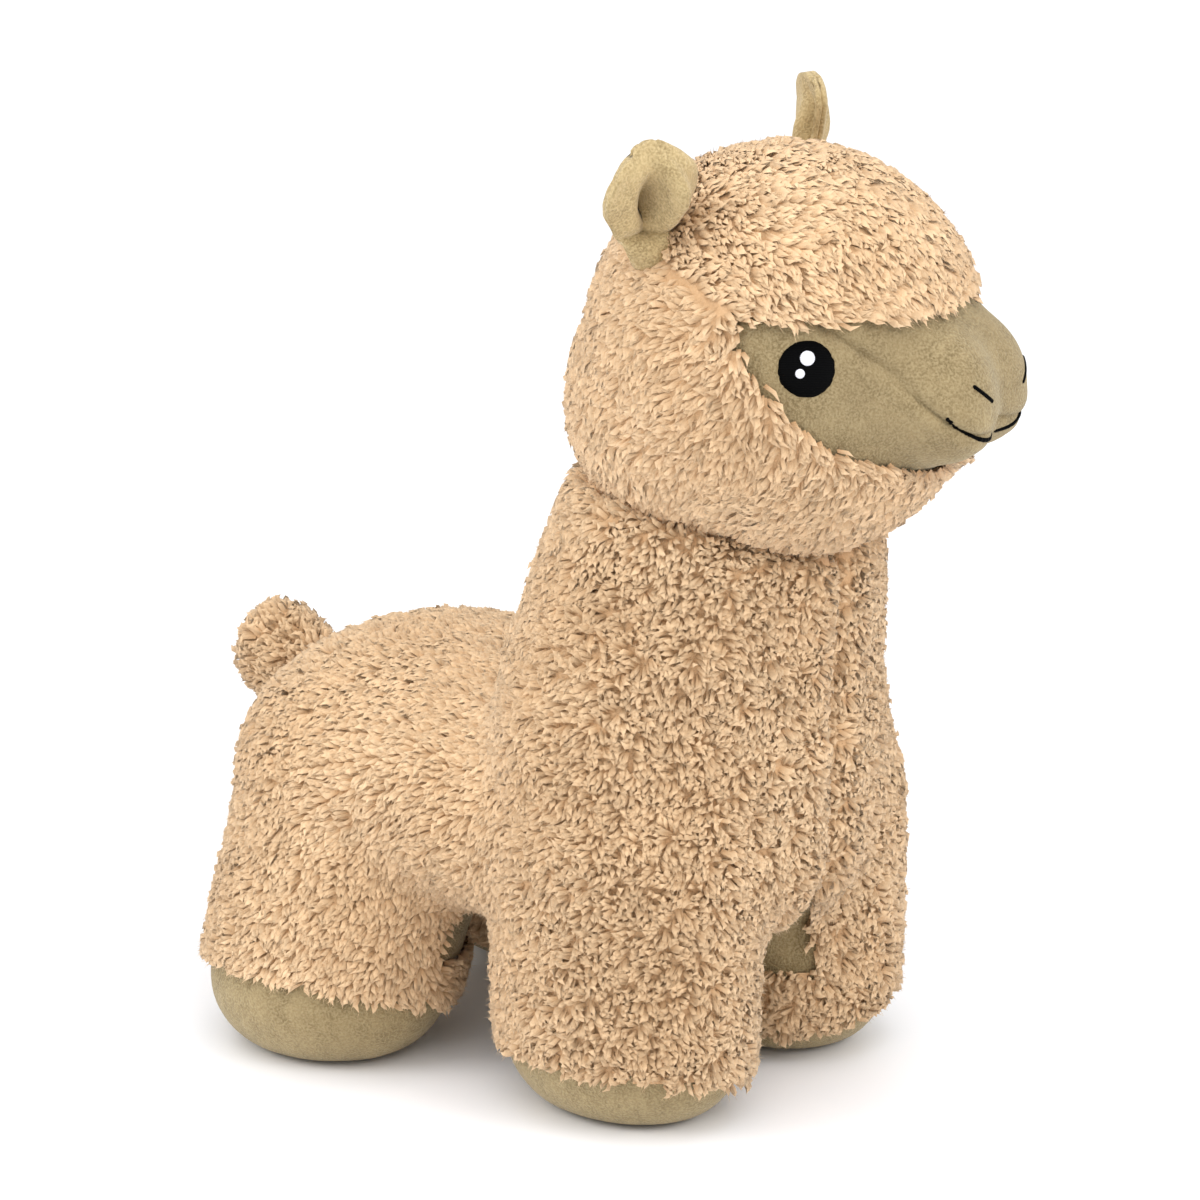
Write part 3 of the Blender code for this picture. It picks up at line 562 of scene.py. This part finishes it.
def velour_finish(name, tone):
    """Short brushed pile; the tone lightens or darkens its dyes for each piece: painted light and
    shade for how much light the way of the pile gives back on that piece.
    """
    cloth = Finish(name, {"Roughness": 0.85, "Sheen Weight": 0.30, "Sheen Roughness": 0.45,
                          "Sheen Tint": (1.0, 0.95, 0.80, 1.0), "Specular IOR Level": 0.2})
    brushed = cloth.mottle(150.0, 4.0, (1.0, 1.6, 0.8))
    nap = cloth.mottle(1500.0, 4.0)
    cloud = cloth.mottle(42.0, 2.0)
    dyes = [dye(*(tone * level for level in colour)) for colour in (
        (142, 122, 84), (173, 151, 109), (200, 179, 136), (150, 129, 92))]
    tint = cloth.mixed(cloth.spread(brushed, 0.35, 0.68), dyes[0], dyes[1])
    tint = cloth.mixed(0.75 * cloth.spread(nap, 0.38, 0.64), tint, dyes[2])
    tint = cloth.mixed(0.30 * cloth.spread(cloud, 0.4, 0.7), tint, dyes[3])
    cloth.give("Base Color", tint)
    cloth.give("Roughness", 0.75 + 0.2 * nap)
    cloth.ruffle(nap + 0.8 * brushed, 0.9, 0.0006)
    return cloth


# The soles' velour is dyed a little darker: painted shade.
sole_velour = velour_finish("sole_velour", 0.93)
smooth_skin = body_sheet.lifted(VELOUR_LIFT)
smooth_skin[:, 2] = np.maximum(smooth_skin[:, 2], 0.0)
for node in ["belly_gusset"] + [f"sole_{leg}" for leg in legs]:
    chosen = (sheet_margin[body_sheet.faces] < VELOUR_TUCK).any(axis=1)
    chosen &= sheet_owner[corner, 1] == body_cloth.names.index(node)
    sewn_on(f"{node}_velour", body_sheet.panel(chosen, smooth_skin), sole_velour,
            [node])

# Fleece of the head: a hood in two halves round the cheeks, the throat and the back of the
# head, and a crown whose longer front edge is brushed forward and hangs over the brow.
HEAD_PLACE = Matrix.LocRotScale(
    Vector((0.0, -0.0662, 0.213)),
    Euler((math.radians(-5.0), math.radians(-2.5), math.radians(10.0))), None)
HEAD_SHEET_ROUNDS = 7
HEAD_BACKING_LIFT = 0.0036
HEAD_CURL_LENGTH = 0.0056
HEAD_DRIFT = 0.022
HEAD_CLEARANCE = 0.0005
HEAD_DOME = 0.20
HOOD_FLOW = (0.1, 0.75, -0.75)
CROWN_FLOW = (8.0, -1.0, -0.35)
FRINGE_FLOW = (6.0, -1.0, -0.6)
CHEEK_LEAN = 0.8
FACE_MIDDLE = (0.0, -0.052, -0.006)

head_sheet = Form("head_filling", PANEL_GRAIN, HEAD_SHEET_ROUNDS)
head_cloth = Cloth(["hood_left", "hood_right", "crown_forelock"],
                   ["face_bridge", "cheek_left", "cheek_right"])
head_owner, head_margin = head_cloth.look(head.lifted(CUT_LIFT))
sheet_owner, sheet_margin = head_cloth.look(head_sheet.lifted(CUT_LIFT))
to_head = np.array(HEAD_PLACE.inverted())
own_head = head.points @ to_head[:3, :3].T + to_head[:3, 3]

head_skin = head_sheet.lifted(HEAD_BACKING_LIFT)
roots = head.lifted(BACKING_LIFT)
body_tree = BVHTree.FromPolygons(body.points.tolist(), body.faces.tolist())
planted = (head_margin > HEM_START / 2) & clear_of(body_tree, roots, HEAD_CLEARANCE)
x, y, z = own_head.T
on_crown = head_owner[:, 0] == head_cloth.names.index("crown_forelock")
level = np.ones(len(x))
hood_flow = np.stack([np.sign(x), level, level], 1) * HOOD_FLOW
crown_flow = np.stack([x, level, level], 1) * CROWN_FLOW
fringe_flow = np.stack([x, level, level], 1) * FRINGE_FLOW
head_flow = np.where(on_crown[:, None], crown_flow, hood_flow)
hem_share = np.clip(1 - head_margin / HEM_REACH, 0, 1)
fringe_share = (hem_share * on_crown)[:, None]
head_flow = head_flow * (1 - fringe_share) + fringe_flow * fringe_share
cheek_share = CHEEK_LEAN * (hem_share * ~on_crown)[:, None]
head_flow = head_flow * (1 - cheek_share) + unit(FACE_MIDDLE - own_head) * cheek_share
head_flow = head_flow @ np.array(HEAD_PLACE)[:3, :3].T
head_flow = unit(flat_to(head_flow + drift(roots, HEAD_DRIFT, 5.0), head.normals))
head_length = HEAD_CURL_LENGTH + 0.0004 * on_crown - 0.0002 * fringe_share[:, 0]
head_rise = 0.56 + 0.16 * hem_share - 0.20 * fringe_share[:, 0]
head_swirl = 0.24 + 0.10 * fringe_share[:, 0]
head_dome = HEAD_DOME * level
jitter = flat_to(rng.normal(0, CURL_STRAY, roots.shape), head.normals)

for name, node in (("hood_fleece_left", "hood_left"), ("hood_fleece_right", "hood_right"),
                   ("crown_fleece", "crown_forelock")):
    owner = head_cloth.names.index(node)
    chosen = (sheet_margin[head_sheet.faces] > HEM_START / 2).all(axis=1)
    chosen &= sheet_owner[head_sheet.faces[:, 0], 0] == owner
    sewn_on(f"{name}_backing", head_sheet.panel(chosen, head_skin), backing,
            [node])
    mine = planted & (head_owner[:, 0] == owner)
    pile = curled_pile((roots + jitter)[mine], head.normals[mine], head_flow[mine],
                       head_length[mine], head_rise[mine], head_swirl[mine], head_dome[mine])
    sewn_on(name, pile, curls, [node])

# Face: two cheeks and a bridge over the nose in the same velour, sewn along a line from the
# fringe to the corner of the mouth, with a shallow groove where the seam pulls them in.
FACE_GRAIN = 0.0008
FACE_ROUNDS = 90
FACE_BACK = 0.012
BRIDGE_SLOPE = 1.15
MOUTH_CORNER_Y = -0.0544
MOUTH_CORNER_Z = -0.0124
SEAM_WIDTH = 0.0008
SEAM_DEPTH = 0.0016
PUFF_MIDDLE = 0.0028
PUFF_WIDTH = 0.0016
PUFF_HEIGHT = 0.0004
STITCH_PITCH = 0.0030
STITCH_EASE = 0.35

face = Form("head_filling", FACE_GRAIN, FACE_ROUNDS)
own_face = face.points @ to_head[:3, :3].T + to_head[:3, 3]
front = own_face[:, 1] < FACE_BACK
face_margin = np.full(len(face.points), np.inf)
face_margin[front] = head_cloth.look(face.lifted(CUT_LIFT)[front])[1]
x, y, z = own_face.T
bridge = (z - MOUTH_CORNER_Z - BRIDGE_SLOPE * (y - MOUTH_CORNER_Y)) / math.hypot(1, BRIDGE_SLOPE)
stitch = 1 - STITCH_EASE + STITCH_EASE * np.cos((y - z) * math.tau / STITCH_PITCH)
groove = np.exp(-(bridge / SEAM_WIDTH) ** 2) * SEAM_DEPTH * stitch
puff = np.exp(-((np.abs(bridge) - PUFF_MIDDLE) / PUFF_WIDTH) ** 2) * PUFF_HEIGHT
face_skin = face.lifted(VELOUR_LIFT) + face.normals * (puff - groove)[:, None]
face_skin_tree = BVHTree.FromPolygons(face_skin.tolist(), face.faces.tolist())
chosen = (face_margin[face.faces] < VELOUR_TUCK).any(axis=1)
# The face's velour is dyed darker: painted shade.
face_velour = velour_finish("face_velour", 0.88)
sewn_on("face_velour", face.panel(chosen, face_skin), face_velour,
        ["face_bridge", "cheek_left", "cheek_right"])

# Eyes, nostrils and mouth: satin stitch in shiny thread, sewn through the velour before the
# head is closed. The eyes are black patches with two white glints each, and the nostrils and
# the two halves of the mouth are single raised lines.
EYE_RADIUS = 0.0074
EYE_DOME = 0.0009
GLINT_LARGE_RADIUS = 0.0020
GLINT_SMALL_RADIUS = 0.0013
GLINT_DOME = 0.0005
GLINT_LIFT = EYE_DOME * 0.8
EDGE_RAG = 0.05
EDGE_TUCK = 0.0004
DISC_SPOKES = 72
DISC_RINGS = 12
LINE_WIDTH = 0.0012
LINE_HEIGHT = 0.0006
LINE_TUCK = 0.0002
LINE_RIDGE = 0.12
LINE_RIDGE_TURN = 2.1
LINE_END = 0.4
LINE_AROUND = 7
LINE_STEPS = 40
STITCH_STEP = 0.0002
NOSTRIL = ((0.01677, -0.06222, -0.00438), (0.01402, -0.06399, -0.00748),
           (0.01022, -0.0651, -0.01048))
MOUTH = ((0.02249, -0.0564, -0.01167), (0.0168, -0.0600, -0.02030),
         (0.00091, -0.0625, -0.02270))


def satin(name, colour, shine):
    """Thread laid side by side in rows, with a painted shine along the rows and painted shade
    between them.
    """
    thread = Finish(name, {"Roughness": 0.7, "Specular IOR Level": 0.04})
    seat = thread.node("ShaderNodeAttribute", {"attribute_name": "stitch"}, {}, "Vector")
    rows = thread.node("ShaderNodeTexWave", {"bands_direction": "Y"},
                       {"Vector": seat, "Scale": 700.0, "Distortion": 1.2, "Detail": 1.0,
                        "Detail Scale": 2.0})
    thread.give("Base Color", thread.mixed(rows, dye(*colour), dye(*shine)))
    thread.give("Roughness", 0.62 - 0.2 * rows)
    thread.ruffle(rows, 0.6, 0.0002)
    return thread


black_satin = satin("black_satin", (1, 1, 1), (4, 4, 5))
white_satin = satin("white_satin", (214, 214, 226), (246, 246, 250))


def stitched_disc(centre, normal, radius, dome, lift):
    """A domed patch of satin stitch that follows the face under it."""
    upwards = (Vector((0, 0, 1)) - normal * normal.z).normalized()
    aside = upwards.cross(normal)
    seats = [(0.0, 0.0)]
    for ring in range(1, DISC_RINGS + 2):
        share = min(ring / DISC_RINGS, 1.0)
        for spoke in range(DISC_SPOKES):
            angle = math.tau * spoke / DISC_SPOKES
            rag = 1.0
            if ring >= DISC_RINGS:
                rag += EDGE_RAG * noise.noise(Vector((math.cos(angle) * 3, math.sin(angle) * 9,
                                                      radius * 900)))
            seats.append((math.cos(angle) * radius * share * rag,
                          math.sin(angle) * radius * share * rag))
    points = []
    for i, (a, b) in enumerate(seats):
        start = centre + aside * a + upwards * b
        hit = face_skin_tree.ray_cast(start + normal * 0.02, -normal)[0] or start
        share = min(math.hypot(a, b) / radius, 1.0)
        rise = lift + dome * math.sqrt(max(1.0 - share ** 3, 0.0))
        if i > DISC_RINGS * DISC_SPOKES:
            rise = -EDGE_TUCK
        points.append(hit + normal * rise)
    faces = [(0, 1 + i, 1 + (i + 1) % DISC_SPOKES) for i in range(DISC_SPOKES)]
    for ring in range(DISC_RINGS):
        for i in range(DISC_SPOKES):
            a = 1 + ring * DISC_SPOKES + i
            b = 1 + ring * DISC_SPOKES + (i + 1) % DISC_SPOKES
            faces.append((a, a + DISC_SPOKES, b + DISC_SPOKES, b))
    mesh = bpy.data.meshes.new("patch")
    mesh.from_pydata(points, [], faces)
    seat = mesh.attributes.new("stitch", "FLOAT_VECTOR", "POINT")
    seat.data.foreach_set("vector", [c for a, b in seats for c in (a, b, 0.0)])
    return mesh


def node_middle(node):
    """The middle of a solid's box."""
    low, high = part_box(node)
    return (Vector(low) + Vector(high)) / 2


for hand in ("left", "right"):
    for part, radius, dome, lift, thread in (
            ("eye", EYE_RADIUS, EYE_DOME, 0.0, black_satin),
            ("glint_large", GLINT_LARGE_RADIUS, GLINT_DOME, GLINT_LIFT, white_satin),
            ("glint_small", GLINT_SMALL_RADIUS, GLINT_DOME, GLINT_LIFT, white_satin)):
        centre = node_middle(f"{part}_{hand}")
        if part == "eye":
            gaze = Vector(face_skin_tree.find_nearest(centre)[1]).normalized()
        mesh = stitched_disc(centre, gaze, radius, dome, lift)
        sewn_on(f"{part}_{hand}_satin", mesh, thread, [f"{part}_{hand}"])


def stitched_line(bend):
    """A raised line of short stitches, bent by three points in the head's own frame."""
    start, middle, end = (HEAD_PLACE @ Vector(point) for point in bend)
    shares = [i / LINE_STEPS for i in range(LINE_STEPS + 1)]
    line = np.array([start * (1 - t) ** 2 + middle * 2 * t * (1 - t) + end * t ** 2
                     for t in shares])
    length = np.linalg.norm(np.diff(line, axis=0), axis=1).sum()
    count = int(length / STITCH_STEP)
    line = np.stack([np.interp(np.linspace(0, 1, count), shares, line[:, i])
                     for i in range(3)], 1)
    centre = HEAD_PLACE.translation
    landed = []
    for point in line:
        outwards = (Vector(point) - centre).normalized()
        hit, normal = face_skin_tree.ray_cast(centre + outwards * 0.15, -outwards)[:2]
        landed.append((hit, normal))
    points = []
    seats = []
    for i, (hit, normal) in enumerate(landed):
        ahead = landed[min(i + 1, count - 1)][0] - landed[max(i - 1, 0)][0]
        aside = ahead.cross(normal).normalized()
        taper = min(1.0, LINE_END + min(i, count - 1 - i) / 3)
        ridge = taper * (1.0 + LINE_RIDGE * math.sin(i * LINE_RIDGE_TURN))
        for j in range(LINE_AROUND):
            angle = math.pi * j / (LINE_AROUND - 1)
            points.append(hit + aside * math.cos(angle) * LINE_WIDTH / 2 * ridge
                          + normal * (math.sin(angle) * LINE_HEIGHT * ridge - LINE_TUCK))
            seats.append((j * LINE_WIDTH / LINE_AROUND, i * STITCH_STEP))
    faces = [(a, a + 1, a + LINE_AROUND + 1, a + LINE_AROUND) for i in range(count - 1)
             for a in range(i * LINE_AROUND, (i + 1) * LINE_AROUND - 1)]
    made = bpy.data.meshes.new("line")
    made.from_pydata(points, [], faces)
    seat = made.attributes.new("stitch", "FLOAT_VECTOR", "POINT")
    seat.data.foreach_set("vector", [c for a, b in seats for c in (a, b, 0.0)])
    return made


for hand, side in (("left", 1.0), ("right", -1.0)):
    for part, bend in (("nostril", NOSTRIL), ("mouth", MOUTH)):
        bend = [(side * x, y, z) for x, y, z in bend]
        sewn_on(f"{part}_{hand}_satin", stitched_line(bend), black_satin,
                [f"{part}_{hand}"])

# Ears: a back and a lining of velour, turned right side out, rolled into a cup that faces
# outwards, and caught in the seam behind the crown, where a fold crosses the stalk. The left
# one is folded narrower than the right.
EAR_CLOTH = 0.0030
EAR_OVERLAP = 0.0003
EAR_ROWS = 46
EAR_COLUMNS = 36
HOLLOW_DEPTH = 0.0125
CREST_HEIGHT = 0.0080
ROLL_START = 0.45
ROLL_DEPTH = 0.0070
RIM_HEIGHT = 0.0036
STALK_HEIGHT = 0.0040
FOLD_DEPTH = 0.0042
FOLD_PLACE = 0.375
TIP_DROP = 0.0022
EAR_FACING = {"right": math.radians(38.0), "left": math.radians(45.0)}
EAR_FOLD = {"right": 1.0, "left": 0.45}
EAR_HEIGHTS = (0.0, 0.20, 0.40, 0.60, 0.80, 1.0)
EAR_PATH = {
    "right": ((0.0275, 0.0160, 0.0240), (0.0362, 0.0172, 0.0325), (0.0425, 0.0158, 0.0420),
              (0.0466, 0.0112, 0.0515), (0.0478, 0.0092, 0.0595), (0.0476, 0.0100, 0.0668)),
    "left": ((0.0310, 0.0140, 0.0240), (0.0385, 0.0135, 0.0325), (0.0440, 0.0115, 0.0420),
             (0.0468, 0.0100, 0.0515), (0.0474, 0.0095, 0.0595), (0.0474, 0.0095, 0.0668))}
LEAF_HEIGHTS = (0.0, 0.20, 0.36, 0.46, 0.54, 0.63, 0.74, 0.84, 0.92, 0.97, 1.0)
LEAF_HALF_WIDTHS = {
    "right": (0.0058, 0.0064, 0.0076, 0.0106, 0.0131, 0.0141, 0.0135, 0.0114, 0.0086, 0.0060,
              0.0038),
    "left": (0.0058, 0.0062, 0.0066, 0.0074, 0.0086, 0.0100, 0.0114, 0.0122, 0.0114, 0.0094,
             0.0068)}


def hump(value, middle, width):
    return math.exp(-((value - middle) / width) ** 2)


def ear_depth(s, v, fullness):
    """How far the leaf stands towards its open side, at s from rear to front edge, v up it."""
    hollow = -HOLLOW_DEPTH * hump(s, 0.0, 0.24) * hump(v, 0.55, 0.17)
    crest = CREST_HEIGHT * hump(s, 0.15 + 0.9 * (0.9 - v), 0.20) * hump(v, 0.60, 0.24)
    rolled = -ROLL_DEPTH * max(s - ROLL_START, 0.0) ** 2 / 0.30
    rim = RIM_HEIGHT * s * s * min(max((v - 0.50) / 0.3, 0.0), 1.0)
    stalk = STALK_HEIGHT * (1 - s * s) * hump(v, 0.12, 0.20)
    fold = -FOLD_DEPTH * hump(v, FOLD_PLACE, 0.032) * (1 - 0.5 * s * s)
    return (hollow + crest + rolled + rim) * fullness + stalk + fold


def ear_leaf(hand, side, offset):
    """One layer of an ear along its path, drawn for the right side and mirrored for the left.

    The open side looks towards the front and outwards.
    """
    facing = -EAR_FACING[hand]
    across = np.array((math.cos(facing), math.sin(facing), 0.0))
    outwards = np.array((math.sin(facing), -math.cos(facing), 0.0))
    heights = [v * v * (3 - 2 * v) * 0.4 + v * 0.6 for v in np.linspace(0, 1, EAR_ROWS)]
    widths = LEAF_HALF_WIDTHS[hand]
    points = []
    for v in heights:
        half = np.interp(v, LEAF_HEIGHTS, widths)
        fullness = EAR_FOLD[hand] * (half / max(widths)) ** 1.5
        middle = np.array([np.interp(v, EAR_HEIGHTS, level) for level in zip(*EAR_PATH[hand])])
        middle[0] = -middle[0]
        for s in np.linspace(-1, 1, EAR_COLUMNS):
            point = middle + across * s * half + outwards * (ear_depth(s, v, fullness) + offset)
            point[2] -= TIP_DROP * s * s * v * v
            points.append(HEAD_PLACE @ Vector((point[0] * -side, point[1], point[2])))
    faces = [(a, a + 1, a + EAR_COLUMNS + 1, a + EAR_COLUMNS) for r in range(EAR_ROWS - 1)
             for a in range(r * EAR_COLUMNS, (r + 1) * EAR_COLUMNS - 1)]
    mesh = bpy.data.meshes.new("leaf")
    mesh.from_pydata(points, [], faces)
    return mesh


# The ears' velour is dyed lighter: painted light.
ear_velour = velour_finish("ear_velour", 1.08)
for hand, side in (("left", 1.0), ("right", -1.0)):
    for layer, offset in (("back", -EAR_CLOTH / 4), ("lining", EAR_CLOTH / 4)):
        ear = sewn_on(f"ear_{layer}_{hand}_velour", ear_leaf(hand, side, offset), ear_velour,
                      [f"ear_{layer}_{hand}"])
        plump = ear.modifiers.new("plump", "SOLIDIFY")
        plump.thickness = EAR_CLOTH / 2 + EAR_OVERLAP
        plump.offset = 0.0
        softened = ear.modifiers.new("softened", "SMOOTH")
        softened.iterations = 1

# Tail: two small halves of the same fleece, sewn round a pinch of stuffing into a short stub
# and sewn on above the rump. Its curls stand out all round, like a tuft.
TAIL_GRAIN = PANEL_GRAIN * 0.6
TAIL_SHEET_ROUNDS = 6
TAIL_ROUNDS = 10
TAIL_BACKING_LIFT = 0.0018
TAIL_CURL_LENGTH = 0.0064
TAIL_LEAN = (0.0, 0.02, 0.004)
TAIL_RISE = 0.95
TAIL_SWIRL = 0.5
TAIL_DOME = 0.6

tail_sheet = Form("tail_filling", TAIL_GRAIN, TAIL_SHEET_ROUNDS)
tail = Form("tail_filling", CURL_SPACING, TAIL_ROUNDS)
tail_skin = tail_sheet.lifted(TAIL_BACKING_LIFT)
roots = tail.lifted(TAIL_BACKING_LIFT)
tail_flow = unit(tail.points - tail.points.mean(axis=0) + np.array(TAIL_LEAN))
planted = clear_of(body_tree, roots, 0.0)
for hand, sign in (("left", 1.0), ("right", -1.0)):
    chosen = tail_sheet.points[tail_sheet.faces].mean(axis=1)[:, 0] * sign > 0
    sewn_on(f"tail_fleece_{hand}_backing", tail_sheet.panel(chosen, tail_skin), backing,
            [f"tail_{hand}"])
    mine = planted & (tail.points[:, 0] * sign > 0)
    level = np.ones(mine.sum())
    pile = curled_pile(roots[mine], tail.normals[mine], tail_flow[mine],
                       level * TAIL_CURL_LENGTH, level * TAIL_RISE, level * TAIL_SWIRL,
                       level * TAIL_DOME)
    sewn_on(f"tail_fleece_{hand}", pile, curls, [f"tail_{hand}"])

# Floor and light: a white table that runs out of sight, a pale room, one wide soft light
# overhead and two round lamps on either side of the viewer.
FLOOR_REACH = 16.0
ROOM_COLOUR = (0.97, 0.985, 1.0, 1.0)
ROOM_STRENGTH = 0.70
LAMP_DISTANCE = 1.4
LAMP_SIZE = 0.7
LAMP_POWER = 6.0
LAMP_COLOUR = (1.0, 0.985, 0.965)
CEILING_POWER = 2.0
CEILING_WIDTH = math.radians(85.0)
CEILING_TILT = (math.radians(12.0), math.radians(-14.0), 0.0)

floor_mesh = bpy.data.meshes.new("floor")
floor_mesh.from_pydata([(FLOOR_REACH * a, FLOOR_REACH * b, 0.0)
                        for a, b in ((-1, -1), (1, -1), (1, 1), (-1, 1))], [], [(0, 1, 2, 3)])
floor = bpy.data.objects.new("floor", floor_mesh)
bpy.context.scene.collection.objects.link(floor)
paper = Finish("white_table", {"Roughness": 0.35, "Specular IOR Level": 0.3})
specks = paper.mottle(30.0, 2.0)
paper.give("Base Color", paper.mixed(specks, dye(246, 247, 250), dye(250, 250, 252)))
paper.give("Roughness", 0.33 + 0.06 * specks)
floor_mesh.materials.append(paper.material)

room = bpy.data.worlds.new("room")
room.use_nodes = True
room_light = room.node_tree.nodes["Background"]
room_light.inputs["Color"].default_value = ROOM_COLOUR
room_light.inputs["Strength"].default_value = ROOM_STRENGTH
bpy.context.scene.world = room


def soft_lamp(name, turn, up):
    """A round lamp, turned about the toy from the viewer and raised, both in degrees."""
    lamp = bpy.data.objects.new(name, bpy.data.lights.new(name, "AREA"))
    lamp.data.shape = "DISK"
    lamp.data.size = LAMP_SIZE
    lamp.data.energy = LAMP_POWER
    lamp.data.color = LAMP_COLOUR
    angle = VIEW_ROUND + math.radians(turn)
    rise = math.radians(up)
    way = Vector((math.sin(angle) * math.cos(rise), -math.cos(angle) * math.cos(rise),
                  math.sin(rise)))
    lamp.location = VIEW_MIDDLE + way * LAMP_DISTANCE
    lamp.rotation_euler = way.to_track_quat("Z", "Y").to_euler()
    bpy.context.scene.collection.objects.link(lamp)


soft_lamp("left_lamp", -70.0, 28.0)
soft_lamp("right_lamp", 60.0, 30.0)
ceiling = bpy.data.objects.new("ceiling_light", bpy.data.lights.new("ceiling_light", "SUN"))
ceiling.data.energy = CEILING_POWER
ceiling.data.angle = CEILING_WIDTH
ceiling.rotation_euler = CEILING_TILT
bpy.context.scene.collection.objects.link(ceiling)
bpy.context.scene.view_settings.view_transform = "Standard"
